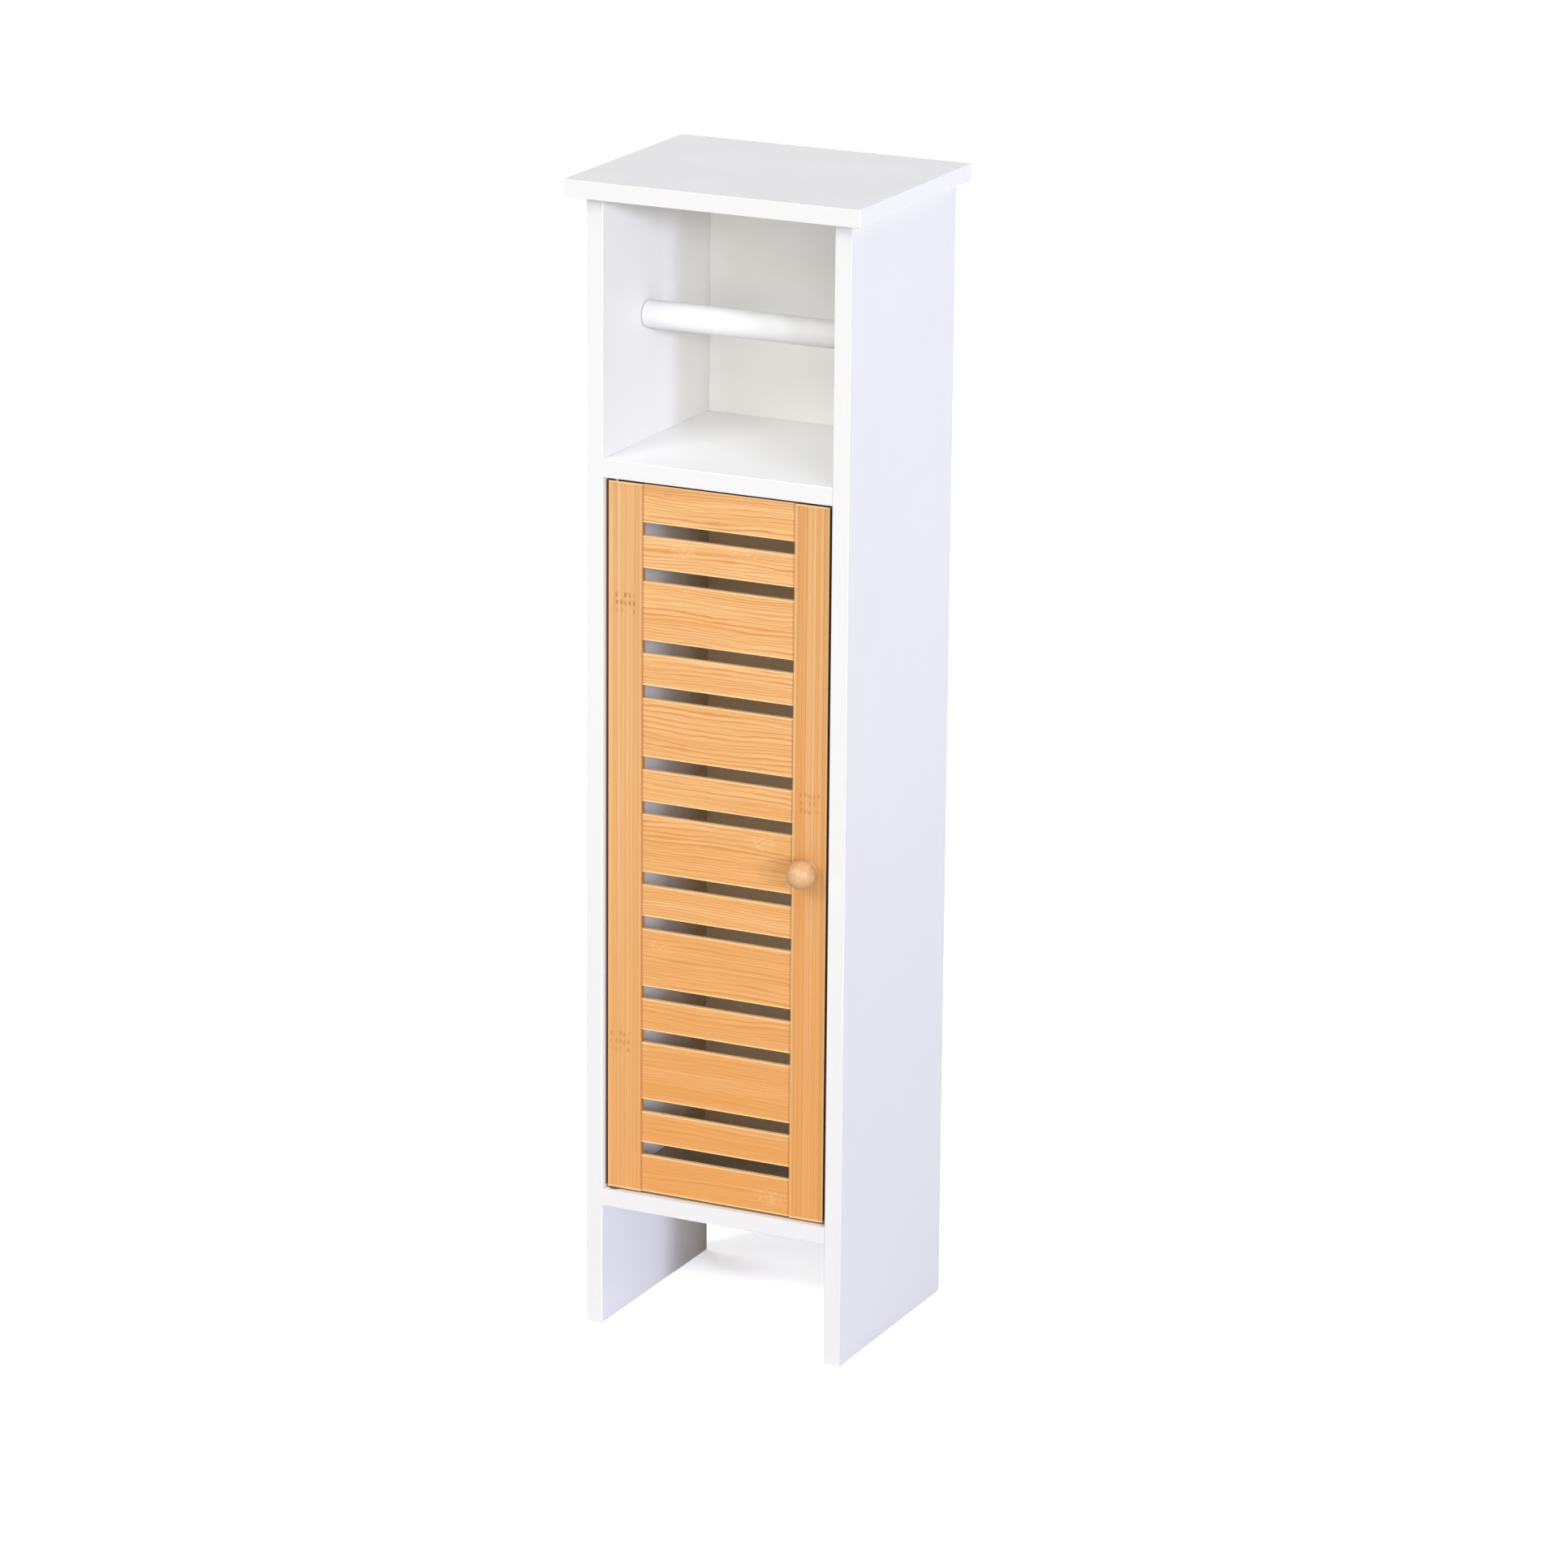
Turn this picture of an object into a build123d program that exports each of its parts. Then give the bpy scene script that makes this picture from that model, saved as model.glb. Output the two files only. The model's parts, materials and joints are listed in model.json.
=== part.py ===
"""A slim freestanding toilet roll cabinet: a white carcass with a roll bar over a slatted bamboo door.

Millimetres. +Z is up and the front looks along -Y. The origin lies on the floor, under the middle of
the whole object's box, the knob included.
"""

import os
from math import atan2, cos, sin, sqrt

from build123d import *

# Overall size of the cabinet, without the knob
overall_width = 210.0
overall_depth = 170.0
overall_height = 780.0

# Boards of the carcass
top_thickness = 12.0
side_thickness = 12.0
shelf_thickness = 12.0
back_thickness = 3.0
side_overhang = 11.0  # top panel beyond each side panel
front_overhang = 12.0  # top panel beyond the side panels' front edges
compartment_height = 172.0  # clear height of the open compartment for the hanging roll
floor_clearance = 84.0  # floor to the underside of the bottom shelf
edge_round = 0.6  # broken edge of a white board
rebate_width = 6.0  # how far the back panel runs into each side panel
back_inset = 0.5  # back panel's rear face to the side panels' rear edges
back_fit = 0.1  # gap round the back panel

# Dowels
dowel_radius = 3.0
dowel_in_end = 12.0  # depth in the end of a board
bore_cover = 4.0  # board left behind a dowel's bore in its face
dowel_fit = 0.05  # radial gap in the bore
dowel_chamfer = 0.6
bore_end_gap = 0.2  # free depth beyond what a bore holds
dowel_spacing = 102.0  # between the two dowels of one shelf end
top_dowel_spacing = 110.0  # between the two dowels on one side panel

# Cam fittings, one at each end of each shelf
cam_radius = 6.0
cam_cover = 2.3  # shelf left over a cam's pocket
cam_wall = 1.8
cam_floor = 2.8
cam_slot_width = 4.0
cam_entry_width = 6.4
cam_drive_width = 1.4
cam_drive_length = 8.0
cam_drive_depth = 1.5
cam_fit = 0.1
cam_distance = 24.0  # shelf's end to the middle of the cam
cam_bolt_radius = 2.5
cam_bolt_cover = 3.5  # side panel left behind a bolt's thread
cam_shaft_radius = 1.7
cam_head_radius = 2.8
cam_head_thickness = 2.0
cam_head_setback = 3.0  # middle of the cam to the near face of the bolt's head

# Pins that hold the back panel
back_pin_radius = 0.6
back_pin_length = 13.0
back_pin_head_radius = 1.3
back_pin_head_thickness = 0.4
back_pin_fit = 0.05
back_pins_per_side = 5
back_pin_end_margin = 40.0
shelf_pin_spacing = 90.0

# Door
door_recess = 4.5  # door's face behind the side panels' front edges
hinge_gap = 1.8
latch_gap = 3.7
top_gap = 2.4
bottom_gap = 1.2
stile_width = 24.7
stile_thickness = 5.0
stile_round = 0.8
rail_width = 25.5
slat_thickness = 4.0
slat_setback = 0.8  # slats' faces behind the stiles' faces
slat_round = 0.5
slot_height = 9.0
slat_count = 11
wide_to_narrow = 1.84  # height of a wide slat over that of a narrow one
tongue_thickness = 2.0
tongue_length = 5.0
tongue_shoulder = 2.5  # cross piece above and below its tongue
tongue_fit = 0.05
tongue_end_gap = 0.2

# Hinge pins of the door and their bushes
pivot_offset = 7.0  # pivot to the left side panel's inner face
pin_radius = 1.5
pin_fit = 0.08  # radial running gap in the bush
pin_in_stile = 20.0
pin_end_gap = 0.5  # pin's end to the bottom of its bush
pin_round = 0.4
bush_radius = 3.5
bush_cover = 3.8  # shelf left behind a bush
bush_floor = 0.8
bush_flange_radius = 4.5
bush_flange_thickness = 0.9

# Knob and its screw
knob_length = 21.3
knob_head_radius = 9.7
knob_neck_length = 6.2  # door's face to the back of the ball
knob_neck_radius = 4.6
knob_foot_radius = 5.8
knob_foot_height = 2.2
knob_rim_round = 0.8
knob_drop = 1.0  # below the door's middle
knob_screw_radius = 1.6
knob_screw_in_knob = 12.0
knob_screw_head_radius = 3.2
knob_screw_head_thickness = 2.0
screw_fit = 0.1
screw_slot_width = 0.8
screw_slot_share = 0.5  # slot's depth over the head's thickness

# Magnetic catch under the middle shelf, and the plate on the door that it holds
catch_length = 38.0
catch_depth = 14.0
catch_height = 14.0
catch_from_panel = 30.0  # right side panel's inner face to the catch
magnet_height = 5.5  # middle of the magnet above the catch's underside
pole_length = 20.0
pole_thickness = 1.2
pole_depth = 11.0
pole_reach = 1.0  # poles beyond the housing
magnet_length = 18.0
magnet_thickness = 3.6
magnet_setback = 1.0  # magnet behind the poles' front edges
magnet_fit = 0.05
catch_gap = 0.3  # poles to the closed door's plate
catch_screw_spacing = 30.0
catch_screw_radius = 1.2
catch_screw_head_radius = 2.4
catch_screw_head_thickness = 1.6
catch_screw_in_shelf = 6.0
strike_width = 24.0
strike_height = 10.0
strike_thickness = 1.5
strike_screw_radius = 1.0
strike_screw_head_radius = 2.0
strike_screw_head_thickness = 1.0
strike_screw_in_rail = 2.8

# Roll bar: a sleeve with a sprung plunger in its right end
bar_radius = 9.25
bar_above_shelf = 84.0
bar_setback = 63.0  # behind the side panels' front edges
bar_end_gap = 0.3
bar_wall = 1.5
bar_end_round = 0.8
sleeve_length = 145.0
sleeve_end_wall = 2.5
plunger_fit = 0.1  # radial gap in the sleeve
spigot_radius = 4.0
spigot_length = 5.0
spigot_fit = 0.1
spigot_chamfer = 0.8
socket_end_gap = 0.5
spring_length = 42.0
spring_wire_radius = 0.6
spring_coil_radius = 6.6
spring_turns = 10
spring_end_gap = 0.3

# Places that follow from the sizes
side_height = overall_height - top_thickness
side_outer = overall_width / 2 - side_overhang
side_inner = side_outer - side_thickness
side_middle = (side_inner + side_outer) / 2
knob_reach = max(knob_length - front_overhang - door_recess, 0.0)
back_y = (overall_depth + knob_reach) / 2
top_front_y = back_y - overall_depth
front_y = top_front_y + front_overhang
back_rear_y = back_y - back_inset
shelf_back_y = back_rear_y - back_thickness
shelf_middle_y = (front_y + shelf_back_y) / 2
middle_shelf_top = side_height - compartment_height
middle_shelf_bottom = middle_shelf_top - shelf_thickness
bottom_shelf_top = floor_clearance + shelf_thickness
shelf_bottoms = {"middle_shelf": middle_shelf_bottom, "bottom_shelf": floor_clearance}
half_shelf = shelf_thickness / 2
sides = (-1, 1)
same_size = 0.01  # two radii closer than this are one

door_left = -side_inner + hinge_gap
door_right = side_inner - latch_gap
door_bottom = bottom_shelf_top + bottom_gap
door_top = middle_shelf_bottom - top_gap
door_front_y = front_y + door_recess
door_back_y = door_front_y + stile_thickness
slat_left = door_left + stile_width
slat_right = door_right - stile_width
slat_front_y = door_front_y + slat_setback
slat_back_y = slat_front_y + slat_thickness
tongue_y = (slat_front_y + slat_back_y) / 2
pivot_x = -side_inner + pivot_offset
pivot_y = (door_front_y + door_back_y) / 2
bush_depth = shelf_thickness - bush_cover
knob_x = door_right - stile_width / 2
knob_z = (door_bottom + door_top) / 2 - knob_drop

top_bore = top_thickness - bore_cover
side_bore = side_thickness - bore_cover
dowel_ys = [shelf_middle_y + side * dowel_spacing / 2 for side in sides]
top_dowel_ys = [shelf_middle_y + side * top_dowel_spacing / 2 for side in sides]
cam_height = shelf_thickness - cam_cover - 2 * cam_fit
cam_bolt_depth = side_thickness - cam_bolt_cover
pin_in_board = back_pin_length - back_thickness

catch_right = side_inner - catch_from_panel
catch_x = catch_right - catch_length / 2
catch_bottom = middle_shelf_bottom - catch_height
magnet_z = catch_bottom + magnet_height
pole_front_y = slat_back_y + strike_thickness + catch_gap
catch_front_y = pole_front_y + pole_reach
catch_screw_y = catch_front_y + catch_depth / 2
catch_screw_xs = [catch_x + side * catch_screw_spacing / 2 for side in sides]

bar_y = front_y + bar_setback
bar_z = middle_shelf_top + bar_above_shelf
sleeve_left = -side_inner + bar_end_gap
sleeve_right = sleeve_left + sleeve_length
sleeve_bore_radius = bar_radius - bar_wall
spring_left = sleeve_left + sleeve_end_wall
plunger_left = spring_left + spring_length
plunger_right = side_inner - bar_end_gap
plunger_radius = sleeve_bore_radius - plunger_fit

left, right = (-1, 0, 0), (1, 0, 0)
to_front, to_back = (0, -1, 0), (0, 1, 0)
down, up = (0, 0, -1), (0, 0, 1)


def finish(piece, name):
    """Labels a finished piece and writes it."""
    piece.part.label = name
    export_step(piece.part, f"parts/{name}.step")


def slab(x_limits, y_limits, z_limits, mode=Mode.ADD):
    """A square block between two limits on each axis, given in either order."""
    (x_low, x_high), (y_low, y_high), (z_low, z_high) = map(sorted, (x_limits, y_limits, z_limits))
    with BuildSketch(Plane.XY.offset(z_low)) as outline:
        with Locations(((x_low + x_high) / 2, (y_low + y_high) / 2)):
            Rectangle(x_high - x_low, y_high - y_low)
    extrude(outline.sketch, amount=z_high - z_low, mode=mode)


def rods(starts, direction, radius, length, mode=Mode.ADD):
    """Equal round rods, or bores, each from its own start in one direction."""
    with BuildSketch(*[Plane(origin=start, z_dir=direction) for start in starts]) as rings:
        Circle(radius)
    extrude(rings.sketch, amount=length, mode=mode)


def screws(seats, direction, radius, length, head_radius, head_thickness):
    """Slotted screws. A seat is the point under a head, and direction is the way that the shank points."""
    backward = tuple(-part for part in direction)
    rods(seats, direction, radius, length)
    rods(seats, backward, head_radius, head_thickness)
    faces = [Plane(origin=seat, z_dir=backward).offset(head_thickness) for seat in seats]
    with BuildSketch(*faces) as slots:
        Rectangle(2 * head_radius, screw_slot_width)
    extrude(slots.sketch, amount=-head_thickness * screw_slot_share, mode=Mode.SUBTRACT)


def spaced(first, last, count):
    """Evenly spaced values from the first to the last."""
    return [first + (last - first) * step / (count - 1) for step in range(count)]


def cross_pieces():
    """Lower and upper edge of each rail and slat of the door, narrow and wide slats in turn."""
    narrow_count = (slat_count + 1) // 2
    wide_count = slat_count - narrow_count
    slats_height = door_top - door_bottom - 2 * rail_width - (slat_count + 1) * slot_height
    narrow = slats_height / (narrow_count + wide_count * wide_to_narrow)
    limits = {
        "top_rail": (door_top - rail_width, door_top),
        "bottom_rail": (door_bottom, door_bottom + rail_width),
    }
    top = door_top - rail_width - slot_height
    for number in range(1, slat_count + 1):
        height = narrow if number % 2 == 1 else narrow * wide_to_narrow
        limits[f"slat_{number:02d}"] = (top - height, top)
        top -= height + slot_height
    return limits


# Pins round the back panel: in both side panels, and in the rear edge of each shelf
side_pin_xs = [side * (side_inner + rebate_width / 2) for side in sides]
lowest_pin_z = floor_clearance + back_pin_end_margin
highest_pin_z = side_height - back_pin_end_margin
side_pin_zs = spaced(lowest_pin_z, highest_pin_z, back_pins_per_side)
side_pins = {x: [(x, shelf_back_y, z) for z in side_pin_zs] for x in side_pin_xs}
shelf_pins = {
    name: [(side * shelf_pin_spacing / 2, shelf_back_y, bottom + half_shelf) for side in sides]
    for name, bottom in shelf_bottoms.items()
}
all_back_pins = [place for places in (*side_pins.values(), *shelf_pins.values()) for place in places]


def bore_for_back_pins(places):
    rods(places, to_front, back_pin_radius + back_pin_fit, pin_in_board + bore_end_gap, Mode.SUBTRACT)


def make_top_panel():
    places = [(side * side_middle, y, side_height) for side in sides for y in top_dowel_ys]
    with BuildPart() as panel:
        slab((-overall_width / 2, overall_width / 2), (top_front_y, back_y), (side_height, overall_height))
        fillet(panel.edges(), edge_round)
        rods(places, up, dowel_radius + dowel_fit, top_bore + bore_end_gap, Mode.SUBTRACT)
    finish(panel, "top_panel")


def make_side_panel(name, side):
    """A full-height side board, on the left for side -1 and on the right for side 1."""
    outward = left if side < 0 else right
    inner = side * side_inner
    middles = [bottom + half_shelf for bottom in shelf_bottoms.values()]
    shelf_dowels = [(inner, y, z) for z in middles for y in dowel_ys]
    top_dowels = [(side * side_middle, y, side_height) for y in top_dowel_ys]
    with BuildPart() as panel:
        slab((inner, side * side_outer), (front_y, back_y), (0, side_height))
        fillet(panel.faces().sort_by(Axis.Y)[0].edges().filter_by(Axis.Z), edge_round)
        fillet(panel.faces().sort_by(Axis.Z)[0].edges().filter_by(Axis.Y), edge_round)
        # Rebate for the back panel, stopped at the bottom shelf so that the leg stays whole
        rebate = (inner, side * (side_inner + rebate_width))
        slab(rebate, (shelf_back_y, back_y), (floor_clearance, side_height), Mode.SUBTRACT)
        rods(shelf_dowels, outward, dowel_radius + dowel_fit, side_bore + bore_end_gap, Mode.SUBTRACT)
        rods(top_dowels, down, dowel_radius + dowel_fit, dowel_in_end + bore_end_gap, Mode.SUBTRACT)
        cam_bolts = [(inner, shelf_middle_y, z) for z in middles]
        rods(cam_bolts, outward, cam_bolt_radius, cam_bolt_depth, Mode.SUBTRACT)
        socket = [(inner, bar_y, bar_z)]
        rods(socket, outward, spigot_radius + spigot_fit, spigot_length + socket_end_gap, Mode.SUBTRACT)
        bore_for_back_pins(side_pins[side_pin_xs[sides.index(side)]])
    finish(panel, name)


def make_shelf(name):
    """A shelf. The middle one takes the door's upper bush and the catch, the bottom one the lower bush."""
    bottom = shelf_bottoms[name]
    is_middle = name == "middle_shelf"
    with BuildPart() as shelf:
        slab((-side_inner, side_inner), (front_y, shelf_back_y), (bottom, bottom + shelf_thickness))
        fillet(shelf.faces().sort_by(Axis.Y)[0].edges().filter_by(Axis.X), edge_round)
        for side in sides:
            inward = right if side < 0 else left
            ends = [(side * side_inner, y, bottom + half_shelf) for y in dowel_ys]
            rods(ends, inward, dowel_radius + dowel_fit, dowel_in_end + bore_end_gap, Mode.SUBTRACT)
            bolt = [(side * side_inner, shelf_middle_y, bottom + half_shelf)]
            rods(bolt, inward, cam_bolt_radius, cam_distance, Mode.SUBTRACT)
            cam = [(side * (side_inner - cam_distance), shelf_middle_y, bottom)]
            rods(cam, up, cam_radius + cam_fit, cam_height + 2 * cam_fit, Mode.SUBTRACT)
        bush_seat = [(pivot_x, pivot_y, bottom if is_middle else bottom + shelf_thickness)]
        rods(bush_seat, up if is_middle else down, bush_radius, bush_depth, Mode.SUBTRACT)
        if is_middle:
            places = [(x, catch_screw_y, bottom) for x in catch_screw_xs]
            bore = catch_screw_in_shelf + bore_end_gap
            rods(places, up, catch_screw_radius + screw_fit, bore, Mode.SUBTRACT)
        bore_for_back_pins(shelf_pins[name])
    finish(shelf, name)


def make_back_panel():
    """The thin back, in the side panels' rebates and against the shelves' rear edges."""
    half_width = side_inner + rebate_width - back_fit
    with BuildPart() as panel:
        heights = (floor_clearance + back_fit, side_height - back_fit)
        slab((-half_width, half_width), (shelf_back_y, back_rear_y), heights)
        rods(all_back_pins, to_back, back_pin_radius + back_pin_fit, back_thickness, Mode.SUBTRACT)
    finish(panel, "back_panel")


def make_back_panel_pins():
    rear = [(x, back_rear_y, z) for x, y, z in all_back_pins]
    with BuildPart() as pins:
        rods(rear, to_front, back_pin_radius, back_pin_length)
        rods(rear, to_back, back_pin_head_radius, back_pin_head_thickness)
    finish(pins, "back_panel_pins")


def make_dowels():
    """Four dowels stand under the top panel, and eight lie in the ends of the shelves."""
    with BuildPart() as top_dowels:
        start_z = side_height - dowel_in_end
        starts = [(side * side_middle, y, start_z) for side in sides for y in top_dowel_ys]
        rods(starts, up, dowel_radius, dowel_in_end + top_bore)
        chamfer(top_dowels.edges().filter_by(GeomType.CIRCLE), dowel_chamfer)
    finish(top_dowels, "top_dowels")
    with BuildPart() as shelf_dowels:
        for side in sides:
            outward = left if side < 0 else right
            start_x = side * (side_inner - dowel_in_end)
            middles = [bottom + half_shelf for bottom in shelf_bottoms.values()]
            starts = [(start_x, y, z) for z in middles for y in dowel_ys]
            rods(starts, outward, dowel_radius, dowel_in_end + side_bore)
        chamfer(shelf_dowels.edges().filter_by(GeomType.CIRCLE), dowel_chamfer)
    finish(shelf_dowels, "shelf_dowels")


def make_cam_locks():
    """Round cams from below: a hollow for the bolt's head, a slot for its shaft and a wider way in."""
    with BuildPart() as cams:
        for bottom in shelf_bottoms.values():
            for side in sides:
                cam_x = side * (side_inner - cam_distance)
                base = bottom + cam_fit
                hollow_z = base + cam_floor
                hollow_height = cam_height - cam_floor
                hollow = [(cam_x, shelf_middle_y, hollow_z)]
                rods([(cam_x, shelf_middle_y, base)], up, cam_radius, cam_height)
                rods(hollow, up, cam_radius - cam_wall, hollow_height, Mode.SUBTRACT)
                with BuildSketch(Plane.XY.offset(hollow_z)) as ways:
                    with Locations((cam_x + side * cam_radius / 2, shelf_middle_y)):
                        Rectangle(cam_radius, cam_slot_width)
                    with Locations((cam_x, shelf_middle_y + cam_radius / 2)):
                        Rectangle(cam_entry_width, cam_radius)
                extrude(ways.sketch, amount=hollow_height, mode=Mode.SUBTRACT)
                with BuildSketch(Plane.XY.offset(base)) as drive:
                    with Locations((cam_x, shelf_middle_y)):
                        Rectangle(cam_drive_length, cam_drive_width)
                        Rectangle(cam_drive_width, cam_drive_length)
                extrude(drive.sketch, amount=cam_drive_depth, mode=Mode.SUBTRACT)
    finish(cams, "cam_locks")


def make_cam_bolts():
    """Bolts screwed into the side panels, each with a thin shaft and a head inside its cam."""
    shaft_length = cam_distance - cam_head_setback
    with BuildPart() as bolts:
        for side in sides:
            outward, inward = (left, right) if side < 0 else (right, left)
            middles = [bottom + half_shelf for bottom in shelf_bottoms.values()]
            roots = [(side * side_inner, shelf_middle_y, z) for z in middles]
            heads = [(side * (side_inner - shaft_length), shelf_middle_y, z) for z in middles]
            rods(roots, outward, cam_bolt_radius, cam_bolt_depth)
            rods(roots, inward, cam_shaft_radius, shaft_length)
            rods(heads, inward, cam_head_radius, cam_head_thickness)
    finish(bolts, "cam_bolts")


def make_stile(name, x_limits):
    """An upright of the door, with a mortise in its inner edge for the tongue of each cross piece."""
    is_hinge_side = name == "hinge_stile"
    inner_edge = x_limits[1] if is_hinge_side else x_limits[0]
    mortise_depth = tongue_length + tongue_end_gap
    mortise_end = inner_edge - mortise_depth if is_hinge_side else inner_edge + mortise_depth
    half_width = tongue_thickness / 2 + tongue_fit
    mortise_ys = (tongue_y - half_width, tongue_y + half_width)
    with BuildPart() as stile:
        slab(x_limits, (door_front_y, door_back_y), (door_bottom, door_top))
        fillet(stile.edges().filter_by(Axis.Z), stile_round)
        for bottom, top in cross_pieces().values():
            heights = (bottom + tongue_shoulder - tongue_fit, top - tongue_shoulder + tongue_fit)
            slab((inner_edge, mortise_end), mortise_ys, heights, Mode.SUBTRACT)
        if is_hinge_side:
            rods([(pivot_x, pivot_y, door_top)], down, pin_radius, pin_in_stile, Mode.SUBTRACT)
            rods([(pivot_x, pivot_y, door_bottom)], up, pin_radius, pin_in_stile, Mode.SUBTRACT)
        else:
            behind = [(knob_x, door_back_y, knob_z)]
            rods(behind, to_front, knob_screw_radius + screw_fit, stile_thickness, Mode.SUBTRACT)
    finish(stile, name)


def make_cross_piece(name, bottom, top):
    """A rail or a slat between the stiles, with a tongue at each end."""
    tongue = (tongue_y - tongue_thickness / 2, tongue_y + tongue_thickness / 2)
    with BuildPart() as piece:
        slab((slat_left, slat_right), (slat_front_y, slat_back_y), (bottom, top))
        fillet(piece.edges().filter_by(Axis.X), slat_round)
        heights = (bottom + tongue_shoulder, top - tongue_shoulder)
        slab((slat_left - tongue_length, slat_right + tongue_length), tongue, heights)
        if name == "top_rail":
            behind = [(catch_x, slat_back_y, magnet_z)]
            bore = strike_screw_in_rail + bore_end_gap
            rods(behind, to_front, strike_screw_radius + screw_fit, bore, Mode.SUBTRACT)
    finish(piece, name)


def make_hinge_pins():
    """Steel pins in the ends of the hinge stile, which turn in the shelves' bushes."""
    pin_in_bush = bush_depth - bush_floor - pin_end_gap
    with BuildPart() as upper:
        length = pin_in_stile + top_gap + pin_in_bush
        rods([(pivot_x, pivot_y, door_top - pin_in_stile)], up, pin_radius, length)
        fillet(upper.edges().group_by(Axis.Z)[-1], pin_round)
    finish(upper, "upper_hinge_pin")
    with BuildPart() as lower:
        length = pin_in_stile + bottom_gap + pin_in_bush
        rods([(pivot_x, pivot_y, door_bottom + pin_in_stile)], down, pin_radius, length)
        fillet(lower.edges().group_by(Axis.Z)[0], pin_round)
    finish(lower, "lower_hinge_pin")


def make_pin_bush(name, shelf_face, into_shelf):
    """A flanged plastic bush in a shelf, closed behind the pin."""
    to_door = down if into_shelf == up else up
    mouth_z = shelf_face - into_shelf[2] * bush_flange_thickness
    with BuildPart() as bush:
        rods([(pivot_x, pivot_y, shelf_face)], into_shelf, bush_radius, bush_depth)
        rods([(pivot_x, pivot_y, shelf_face)], to_door, bush_flange_radius, bush_flange_thickness)
        bore = bush_flange_thickness + bush_depth - bush_floor
        rods([(pivot_x, pivot_y, mouth_z)], into_shelf, pin_radius + pin_fit, bore, Mode.SUBTRACT)
    finish(bush, name)


def make_knob():
    """A turned ball on a waisted neck, bored from behind for its screw."""
    ball_centre = knob_length - knob_head_radius
    back_radius = sqrt(knob_head_radius**2 - (ball_centre - knob_neck_length) ** 2)
    half_angle = atan2(back_radius, knob_neck_length - ball_centre) / 2
    on_ball = (knob_head_radius * sin(half_angle), -ball_centre - knob_head_radius * cos(half_angle))
    with BuildPart() as knob:
        with BuildSketch(Plane(origin=(knob_x, door_front_y, knob_z), x_dir=right, z_dir=up)):
            with BuildLine():
                Polyline(
                    (0, -knob_length),
                    (0, 0),
                    (knob_foot_radius, 0),
                    (knob_neck_radius, -knob_foot_height),
                    (knob_neck_radius, -knob_neck_length),
                    (back_radius, -knob_neck_length),
                )
                ThreePointArc((back_radius, -knob_neck_length), on_ball, (0, -knob_length))
            make_face()
        revolve(axis=Axis((knob_x, door_front_y, knob_z), to_front))
        circles = knob.edges().filter_by(GeomType.CIRCLE)
        fillet(circles.filter_by(lambda edge: abs(edge.radius - back_radius) < same_size), knob_rim_round)
        bore = knob_screw_in_knob + bore_end_gap
        rods([(knob_x, door_front_y, knob_z)], to_front, knob_screw_radius, bore, Mode.SUBTRACT)
    finish(knob, "knob")
    with BuildPart() as screw:
        seat = [(knob_x, door_back_y, knob_z)]
        length = stile_thickness + knob_screw_in_knob
        head = (knob_screw_head_radius, knob_screw_head_thickness)
        screws(seat, to_front, knob_screw_radius, length, *head)
    finish(screw, "knob_screw")


def make_catch():
    """A magnet between two steel pole plates, in a housing screwed up into the middle shelf."""
    housing_xs = (catch_right - catch_length, catch_right)
    housing_ys = (catch_front_y, catch_front_y + catch_depth)
    half_stack = magnet_thickness / 2 + pole_thickness
    cavity_half = half_stack + magnet_fit
    pole_half = pole_length / 2
    pole_ys = (pole_front_y, pole_front_y + pole_depth)
    cavity_xs = (catch_x - pole_half - magnet_fit, catch_x + pole_half + magnet_fit)
    cavity_ys = (catch_front_y, pole_front_y + pole_depth + magnet_fit)
    seats = [(x, catch_screw_y, catch_bottom + catch_screw_head_thickness) for x in catch_screw_xs]
    mouths = [(x, catch_screw_y, catch_bottom) for x in catch_screw_xs]
    with BuildPart() as housing:
        slab(housing_xs, housing_ys, (catch_bottom, middle_shelf_bottom))
        fillet(housing.edges().filter_by(Axis.Z), edge_round)
        slab(cavity_xs, cavity_ys, (magnet_z - cavity_half, magnet_z + cavity_half), Mode.SUBTRACT)
        rods(mouths, up, catch_screw_radius + screw_fit, catch_height, Mode.SUBTRACT)
        rods(mouths, up, catch_screw_head_radius + screw_fit, catch_screw_head_thickness, Mode.SUBTRACT)
    finish(housing, "catch_housing")
    with BuildPart() as magnet:
        magnet_xs = (catch_x - magnet_length / 2, catch_x + magnet_length / 2)
        magnet_ys = (pole_front_y + magnet_setback, pole_front_y + pole_depth)
        slab(magnet_xs, magnet_ys, (magnet_z - magnet_thickness / 2, magnet_z + magnet_thickness / 2))
    finish(magnet, "catch_magnet")
    with BuildPart() as poles:
        for side in sides:
            heights = (magnet_z + side * magnet_thickness / 2, magnet_z + side * half_stack)
            slab((catch_x - pole_half, catch_x + pole_half), pole_ys, heights)
    finish(poles, "catch_pole_plates")
    with BuildPart() as catch_screws:
        length = catch_height - catch_screw_head_thickness + catch_screw_in_shelf
        head = (catch_screw_head_radius, catch_screw_head_thickness)
        screws(seats, up, catch_screw_radius, length, *head)
    finish(catch_screws, "catch_screws")


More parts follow.
